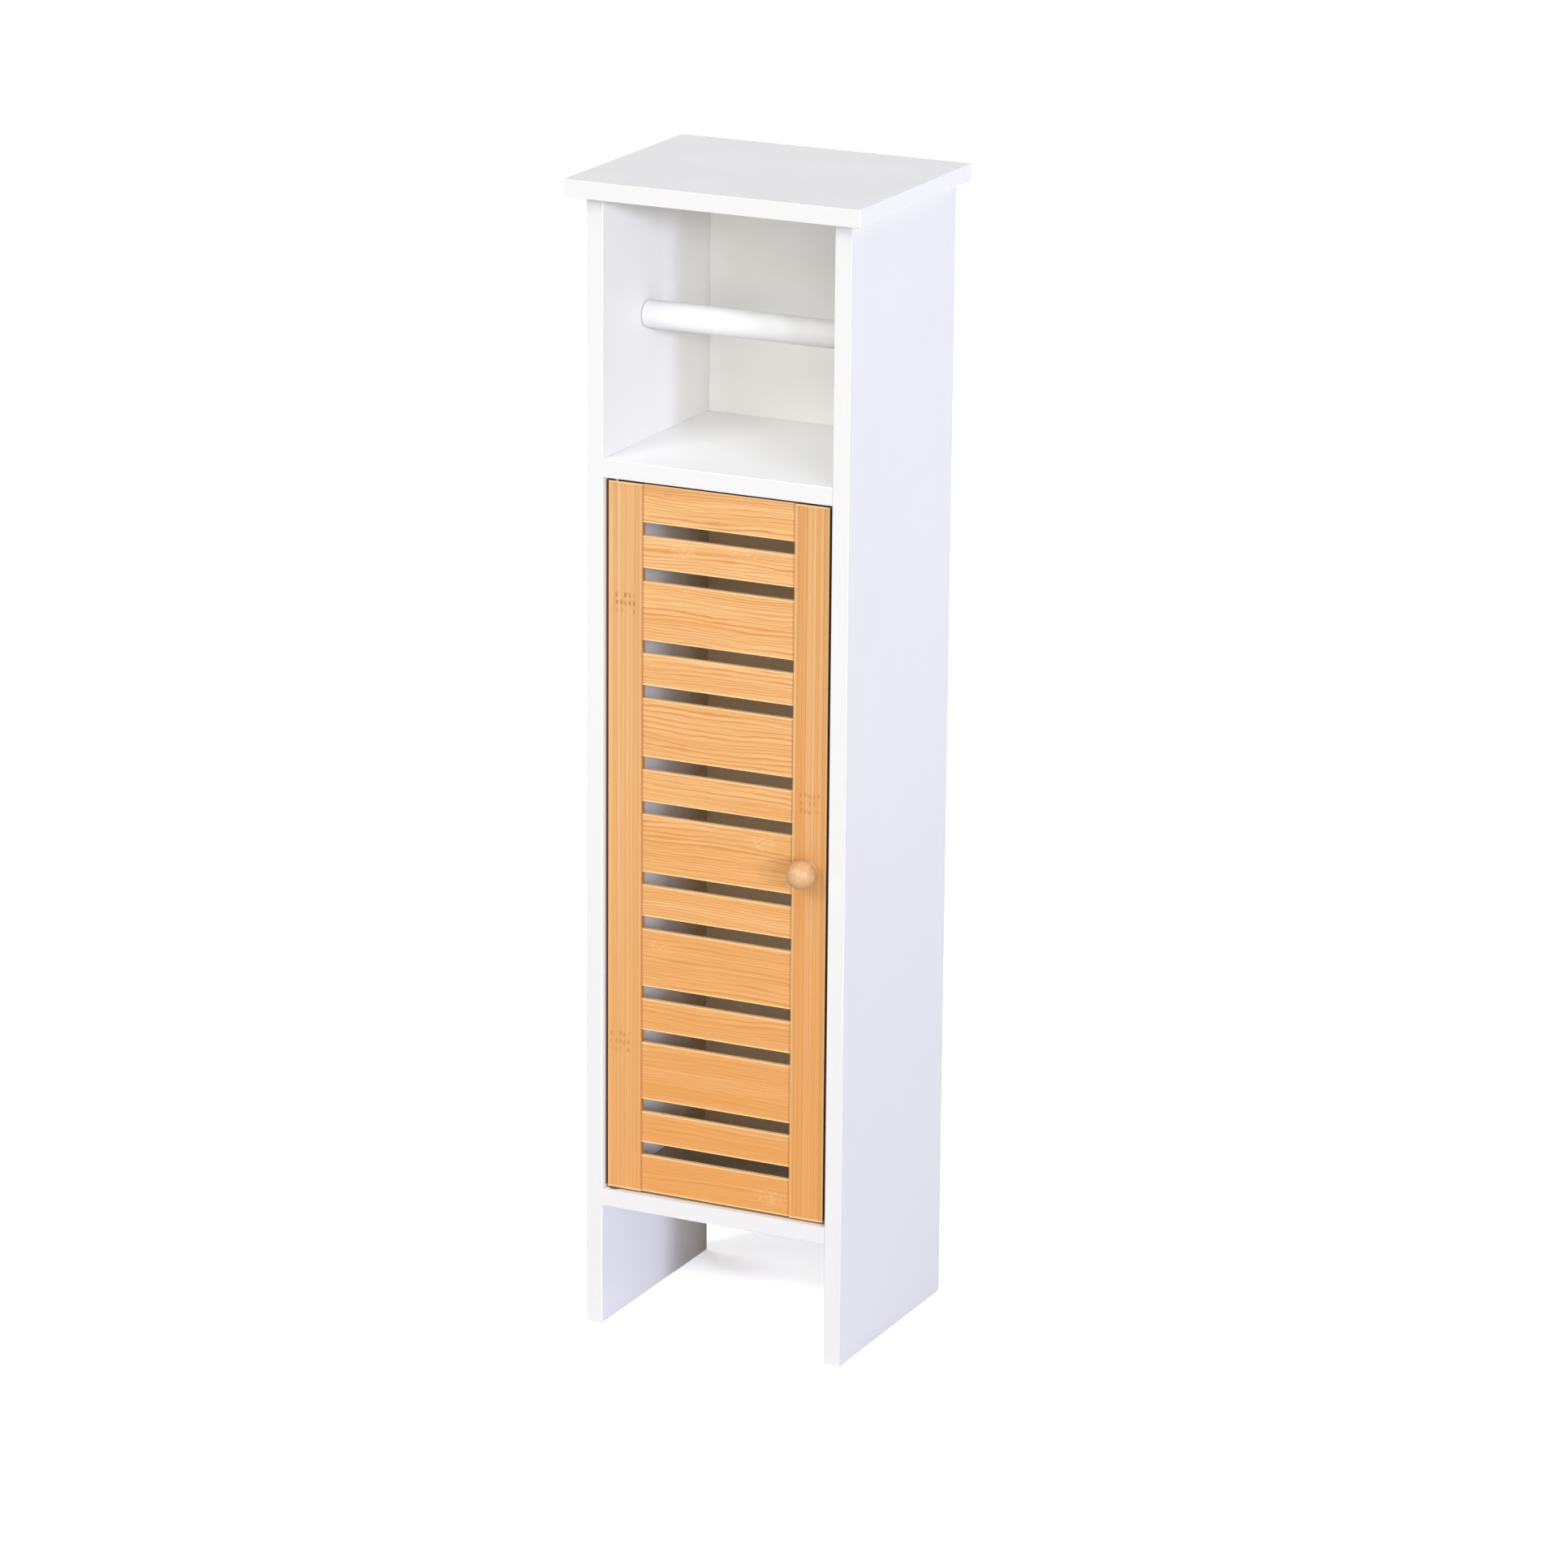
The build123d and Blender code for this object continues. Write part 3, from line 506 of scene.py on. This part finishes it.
tickRows = {
    "rowGap": 5.4 * mm,
    "tickGap": 3.1 * mm,
    "halfWidth": 9.0 * mm,
    "halfHeight": 8.4 * mm,
    "shakeAlong": 5.0 * mm,
    "shakeAcross": 3.0 * mm,
}


def tickMark(finish, along, across, place, seed):
    # Where a culm's joint was: a few rows of short dark ticks across the strips
    x, z, strength = place
    t = tickRows
    shake = finish.noise(along * 110.0, across * 460.0, seed + 6.0, detail=2.0) - 0.5
    down = (along - z + shake * t["shakeAlong"]) * (1 / t["rowGap"]) + 0.5
    over = (across - x + shake * t["shakeAcross"]) * (1 / t["tickGap"]) + 0.5
    row = (down.wrap() - 0.5).size().rise(0.40, 0.16)
    tick = row * (over.wrap() - 0.5).size().rise(0.42, 0.12)
    kept = finish.chance(down.whole(), over.whole(), seed).rise(0.05, 0.7)
    window = (across - x).size().rise(t["halfWidth"], t["halfWidth"] - 1.5 * mm)
    window = window * (along - z).size().rise(t["halfHeight"], t["halfHeight"] - 1.0 * mm)
    return tick * kept * window * strength


doorMarks = {
    # Places on the door of the joints' ticks and of the pale flecks, in metres, and how strong each mark is
    "hinge_stile": [(-67.6 * mm, 501.0 * mm, 0.62), (-71.0 * mm, 200.0 * mm, 0.4)],
    "latch_stile": [(66.0 * mm, 383.0 * mm, 0.4)],
    "slat_01": [(-25.0 * mm, 540.0 * mm, 0.65), (16.0 * mm, 543.0 * mm, 0.5)],
    "slat_06": [(33.0 * mm, 351.0 * mm, 0.6)],
    "slat_08": [(-40.0 * mm, 270.0 * mm, 0.35)],
    "bottom_rail": [(39.0 * mm, 108.5 * mm, 0.55)],
}


def dressDoor():
    for number, name in enumerate(sorted(frame["record"]["behaviour"]["bodies"]["door"])):
        seed = 3.7 * number + 1.0
        if name.endswith("stile"):
            wear(makeStileBamboo(name, doorMarks.get(name, []), seed), name)
        elif name.endswith("rail") or name.startswith("slat"):
            wear(makeSlatBamboo(name, doorMarks.get(name, []), seed), name)


# Turned knob

knobWood = {
    "light": displayColour(208, 168, 122),
    "base": displayColour(200, 156, 106),
    "dark": displayColour(189, 143, 92),
    "below": displayColour(172, 122, 70),  # painted shade on the lower half, after the photograph's shading
    "belowAmount": 0.35,
    "rings": (520.0, 60.0),  # noises' scales across and along the fibres, for each metre
    "pores": (3000.0, 240.0),
    "ringShare": 0.8,
}


def makeKnobWood():
    # Long fibres run through the ball from front to back, a little bent
    s = knobWood
    finish = Finish("knobWood", Specular_IOR_Level=0.45)
    bend = finish.noise(finish.x * 60.0, finish.y * 30.0, finish.z * 60.0, detail=1.0) - 0.5
    x, z = finish.x + bend * (2 * mm), finish.z + bend * (2 * mm)
    across, along = s["rings"]
    rings = finish.noise(x * across, finish.y * along, z * across, detail=2.0)
    across, along = s["pores"]
    pores = finish.noise(x * across, finish.y * along, z * across, detail=2.0)
    tone = rings * s["ringShare"] + pores * (1 - s["ringShare"])
    low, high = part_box("knob")
    turned = finish.ramp(tone, (0.25, s["dark"]), (0.5, s["base"]), (0.75, s["light"]))
    # Painted shade on the knob's lower half
    below = finish.z.rise((low.z + high.z) / 2, low.z, 0.0, s["belowAmount"])
    finish.wire("Base Color", finish.blend(below, turned, s["below"]))
    finish.wire("Roughness", pores.rise(noiseLow, noiseHigh, 0.46, 0.38))
    finish.relief(pores, 0.006 * mm)
    return finish


# Plain materials of the smaller pieces

def makeMoulded(name, colour, shade, roughness, **constants):
    # Moulded plastic: faint flow clouds and a fine even skin
    finish = Finish(name, **constants)
    flow = finish.noise(finish.x * 30.0, finish.y * 90.0, finish.z * 90.0, detail=2.0)
    finish.wire("Base Color", finish.ramp(flow, (noiseLow, shade), (noiseHigh, colour)))
    finish.wire("Roughness", flow.rise(noiseLow, noiseHigh, roughness + 0.05, roughness - 0.05))
    skin = finish.noise(finish.x * 2200.0, finish.y * 2200.0, finish.z * 2200.0, detail=1.0)
    finish.relief(skin, 0.004 * mm)
    return finish


def makeMetal(name, colour, shade, roughness, scratches):
    # Metal with cloudy plating and fine scratches along X
    finish = Finish(name, Metallic=1.0)
    cloud = finish.noise(finish.x * 160.0, finish.y * 160.0, finish.z * 160.0, detail=3.0)
    scratch = finish.noise(finish.x * 200.0, finish.y * scratches, finish.z * scratches, detail=2.0)
    finish.wire("Base Color", finish.ramp(cloud, (noiseLow, shade), (noiseHigh, colour)))
    worn = (cloud * 0.5 + scratch * 0.5).rise(noiseLow, noiseHigh, roughness + 0.1, roughness - 0.1)
    finish.wire("Roughness", worn)
    finish.relief(scratch, 0.004 * mm)
    return finish


def makeBeech():
    # Beech dowels: short dark flecks along the grain
    finish = Finish("beech", Roughness=0.6)
    fleck = finish.noise(finish.x * 900.0, finish.y * 900.0, finish.z * 300.0, detail=2.0)
    dark, pale = displayColour(190, 148, 108), displayColour(222, 188, 148)
    finish.wire("Base Color", finish.ramp(fleck, (0.35, dark), (0.65, pale)))
    finish.relief(fleck, 0.02 * mm)
    return finish


def makeFerrite():
    finish = Finish("ferrite", Roughness=0.7)
    grit = finish.noise(finish.x * 2500.0, finish.y * 2500.0, finish.z * 2500.0, detail=2.0)
    dark, pale = displayColour(38, 38, 40), displayColour(66, 66, 68)
    finish.wire("Base Color", finish.ramp(grit, (noiseLow, dark), (noiseHigh, pale)))
    finish.relief(grit, 0.02 * mm)
    return finish


def dressEverything():
    for name in ("top_panel", "left_side_panel", "right_side_panel", "middle_shelf", "bottom_shelf"):
        wear(makeWhiteBoard(name), name)
    wear(makeBacking(), "back_panel")
    print("boards dressed")
    dressDoor()
    wear(makeKnobWood(), "knob")
    print("door dressed")
    # The bar is written darker than it is seen, because the lamps on it are strong
    barColours = displayColour(222, 222, 220), displayColour(219, 219, 217)
    barWhite = makeMoulded("barWhite", *barColours, 0.6, Specular_IOR_Level=0.15)
    wear(barWhite, "roll_bar_sleeve", "roll_bar_plunger")
    fittingWhite = makeMoulded("fittingWhite", displayColour(236, 236, 234), displayColour(229, 229, 227), 0.45)
    wear(fittingWhite, "catch_housing")
    # Brown only as painted shade, to hide a white spot at the door's lower corner. The record gives the bushes white
    # plastic
    bushShade = makeMoulded("bushShade", displayColour(92, 76, 62), displayColour(80, 66, 54), 0.5)
    wear(bushShade, "upper_pin_bush", "lower_pin_bush")
    steel = makeMetal("brightSteel", displayColour(214, 214, 218), displayColour(196, 197, 202), 0.3, 2600.0)
    wear(
        steel, "back_panel_pins", "cam_bolts", "upper_hinge_pin", "lower_hinge_pin", "knob_screw",
        "catch_pole_plates", "catch_screws", "strike_plate", "strike_screw", "roll_bar_spring",
    )
    zinc = makeMetal("castZinc", displayColour(188, 188, 190), displayColour(168, 168, 172), 0.45, 900.0)
    wear(zinc, "cam_locks")
    wear(makeBeech(), "top_dowels", "shelf_dowels")
    wear(makeFerrite(), "catch_magnet")
    print("small pieces dressed")


# Floor, light and camera

studio = {
    "floorHalf": 40.0,
    "floorSeen": 2.35,  # the floor's brightness straight to the camera, so that it shows as white
    "floorColour": 0.8,
    "sky": 0.06,
}


def makeFloor():
    # A pale floor, plain diffuse, brighter for camera rays alone so that it shows white and keeps its shadow
    half = studio["floorHalf"]
    mesh = bpy.data.meshes.new("floor")
    mesh.from_pydata([(-half, -half, 0), (half, -half, 0), (half, half, 0), (-half, half, 0)], [], [(0, 1, 2, 3)])
    floor = bpy.data.objects.new("floor", mesh)
    bpy.context.scene.collection.objects.link(floor)
    material = bpy.data.materials.new("floorPaint")
    material.use_nodes = True
    tree = material.node_tree
    tree.nodes.clear()
    path = tree.nodes.new("ShaderNodeLightPath")
    colour = tree.nodes.new("ShaderNodeMapRange")
    colour.inputs["To Min"].default_value = studio["floorColour"]
    colour.inputs["To Max"].default_value = studio["floorSeen"]
    tree.links.new(path.outputs["Is Camera Ray"], colour.inputs["Value"])
    diffuse = tree.nodes.new("ShaderNodeBsdfDiffuse")
    tree.links.new(colour.outputs["Result"], diffuse.inputs["Color"])
    output = tree.nodes.new("ShaderNodeOutputMaterial")
    tree.links.new(diffuse.outputs["BSDF"], output.inputs["Surface"])
    mesh.materials.append(material)


def makeSky():
    # Faint even light from all round, and plain white where the camera or a reflection looks past the floor
    world = bpy.data.worlds.new("studioSky")
    bpy.context.scene.world = world
    world.use_nodes = True
    tree = world.node_tree
    tree.nodes.clear()
    path = tree.nodes.new("ShaderNodeLightPath")
    seen = tree.nodes.new("ShaderNodeMath")
    seen.operation = "MAXIMUM"
    tree.links.new(path.outputs["Is Camera Ray"], seen.inputs[0])
    through = tree.nodes.new("ShaderNodeMath")
    through.operation = "MAXIMUM"
    tree.links.new(path.outputs["Is Glossy Ray"], through.inputs[0])
    tree.links.new(path.outputs["Is Transmission Ray"], through.inputs[1])
    tree.links.new(through.outputs[0], seen.inputs[1])
    strength = tree.nodes.new("ShaderNodeMapRange")
    strength.inputs["To Min"].default_value = studio["sky"]
    strength.inputs["To Max"].default_value = 1.0
    tree.links.new(seen.outputs[0], strength.inputs["Value"])
    background = tree.nodes.new("ShaderNodeBackground")
    tree.links.new(strength.outputs["Result"], background.inputs["Strength"])
    output = tree.nodes.new("ShaderNodeOutputWorld")
    tree.links.new(background.outputs["Background"], output.inputs["Surface"])


suns = {
    # Far lights: degrees to the right of the front, degrees up, spread in degrees, strength and colour. The two
    # narrow ones, right and rightNear, reach through the door's slots
    "front": {"turn": 20, "up": 18, "spread": 50, "strength": 0.60, "colour": (1.0, 0.95, 0.88)},
    "frontLow": {"turn": 22, "up": 3, "spread": 30, "strength": 0.66, "colour": (1.0, 1.0, 0.96)},
    "frontHigh": {"turn": 12, "up": 42, "spread": 50, "strength": 0.58, "colour": (0.95, 0.97, 1.0)},
    "left": {"turn": -20, "up": 33, "spread": 24, "strength": 1.04, "colour": (1.0, 1.0, 0.98)},
    "right": {"turn": 58, "up": 9.6, "spread": 8, "strength": 1.36, "colour": (0.80, 0.82, 1.0)},
    "rightNear": {"turn": 47, "up": 12.2, "spread": 7, "strength": 0.92, "colour": (0.82, 0.83, 1.0)},
    "over": {"turn": 0, "up": 75, "spread": 60, "strength": 0.78, "colour": (0.93, 0.92, 1.0)},
    "behind": {"turn": 245, "up": 20, "spread": 50, "strength": 0.9, "colour": (1.0, 1.0, 1.0)},
}


def makeSuns():
    for name, sun in suns.items():
        data = bpy.data.lights.new(name, "SUN")
        data.energy = sun["strength"]
        data.color = sun["colour"]
        data.angle = math.radians(sun["spread"])
        light = bpy.data.objects.new(name, data)
        turn, up = math.radians(sun["turn"]), math.radians(sun["up"])
        away = Vector((math.sin(turn) * math.cos(up), -math.cos(turn) * math.cos(up), math.sin(up)))
        light.rotation_euler = away.to_track_quat("Z", "Y").to_euler()
        bpy.context.scene.collection.objects.link(light)


view = {
    # Where the photograph was taken from, fitted to the cabinet's corners
    "place": (1.8329, -3.7904, 1.6265),
    "turn": 0.4470,  # radians to the left of looking straight along Y
    "tilt": -0.2900,
    "roll": 0.0089,
    "focus": 8216.82 / 1932,  # focal length over the width of the picture
}


def makeCamera():
    data = bpy.data.cameras.new("photoCamera")
    data.sensor_width = 36.0
    data.lens = view["focus"] * data.sensor_width
    data.clip_end = 200.0
    camera = bpy.data.objects.new("photoCamera", data)
    bpy.context.scene.collection.objects.link(camera)
    turned = Matrix.Rotation(view["turn"], 4, "Z") @ Matrix.Rotation(math.pi / 2 + view["tilt"], 4, "X")
    camera.matrix_world = Matrix.Translation(view["place"]) @ turned @ Matrix.Rotation(view["roll"], 4, "Z")
    bpy.context.scene.camera = camera


dressEverything()
makeFloor()
makeSky()
makeSuns()
makeCamera()
bpy.context.scene.view_settings.view_transform = "Standard"
print("studio ready")
